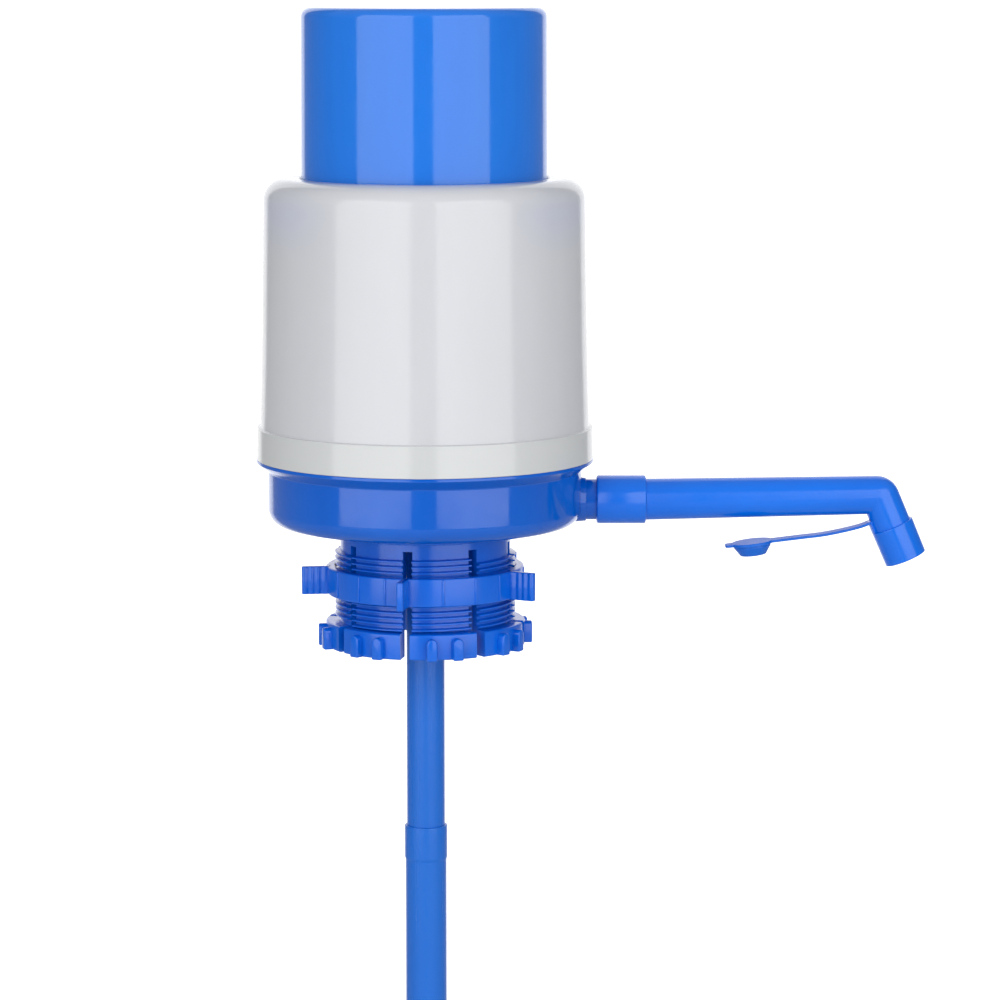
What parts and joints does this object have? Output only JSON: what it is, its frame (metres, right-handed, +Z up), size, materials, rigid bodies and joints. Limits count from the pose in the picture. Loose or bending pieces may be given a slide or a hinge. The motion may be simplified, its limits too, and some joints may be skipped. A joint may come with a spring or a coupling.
{
  "type": "water jug hand pump",
  "caption": "Press-cap bellows pump for a large water jug, with a side spout and tethered plug, a slotted collet with winged lock ring, and a sectioned dip tube.",
  "frame": {"origin": "centre of the jug's lip, on the underside of the lip gasket inside the collar", "axes": "+Z up along the pump's axis towards the press cap, +X along the spout, -Y towards the viewer of the picture"},
  "size_m": [0.244, 0.1226, 0.6273],
  "materials": {
    "cap_blue": "glossy moulded blue",
    "milky_body": "glossy, slightly translucent white",
    "base_blue": "glossy deeper blue",
    "collar_blue": "glossy deeper blue",
    "spout_blue": "glossy bright blue",
    "tube_blue": "glossy extruded blue",
    "inner_white": "plain white moulding",
    "bellows_white": "soft blow-moulded white",
    "seal_rubber": "soft dark grey"
  },
  "bodies": {
    "pump": {"outer_body": "milky_body", "base_pan": "base_blue", "valve_plate": "inner_white", "bellows_clamp_ring": "base_blue", "bellows": "bellows_white", "outlet_elbow": "base_blue", "outlet_o_ring": "seal_rubber", "lip_gasket": "seal_rubber", "collet_sleeve": "collar_blue", "dip_tube_upper": "tube_blue", "dip_tube_middle": "tube_blue", "dip_tube_lower": "tube_blue"},
    "cap": {"press_cap": "cap_blue", "intake_seat": "inner_white"},
    "intake_valve": {"intake_flap": "seal_rubber"},
    "delivery_valve": {"delivery_flap": "seal_rubber"},
    "ring": {"lock_ring": "collar_blue"},
    "spout_arm": {"spout": "spout_blue", "spout_sleeve": "spout_blue"},
    "strap_upper": {"strap_link_upper": "spout_blue"},
    "strap_lower": {"strap_link_lower": "spout_blue"},
    "plug": {"plug_cap": "spout_blue"}
  },
  "joints": [
    {"name": "cap_press", "type": "slide", "parent": "pump", "child": "cap", "axis": [0, 0, -1], "range_m": [0, 0.05], "stiffness_N_per_m": 600, "springref_m": -0.01, "deforming": ["bellows"]},
    {"name": "intake_lift", "type": "slide", "parent": "cap", "child": "intake_valve", "axis": [0, 0, -1], "range_m": [0, 0.0015], "stiffness_N_per_m": 20, "springref_m": -0.001},
    {"name": "delivery_lift", "type": "slide", "parent": "pump", "child": "delivery_valve", "axis": [0, 0, -1], "range_m": [0, 0.0015], "stiffness_N_per_m": 20, "springref_m": -0.001},
    {"name": "lock_ring_turn", "type": "hinge", "parent": "pump", "child": "ring", "pos_m": [0, 0, -0.0152], "axis": [0, 0, -1], "range_deg": [-360, 1440]},
    {"name": "spout_swivel", "type": "hinge", "parent": "pump", "child": "spout_arm", "pos_m": [0.07, 0, 0.0138], "axis": [1, 0, 0], "range_deg": [-180, 180]},
    {"name": "strap_bend", "type": "hinge", "parent": "spout_arm", "child": "strap_upper", "pos_m": [0.15801, 0, 0.00375], "axis": [0, -1, 0], "range_deg": [0, 57.31], "stiffness_Nm_per_rad": 0.004, "springref_deg": -10.03},
    {"name": "strap_bend_middle", "type": "hinge", "parent": "strap_upper", "child": "strap_lower", "pos_m": [0.14671, 0, 0.00093], "axis": [0, -1, 0], "range_deg": [0, 59.8]},
    {"name": "strap_bend_tip", "type": "hinge", "parent": "strap_lower", "child": "plug", "pos_m": [0.13687, 0, -0.0001], "axis": [0, -1, 0], "range_deg": [0, 78.95]}
  ],
  "couplings": [
    {"joint": "strap_bend_middle", "follows": "strap_bend", "ratio": 1.0429},
    {"joint": "strap_bend_tip", "follows": "strap_bend", "ratio": 1.3769}
  ]
}
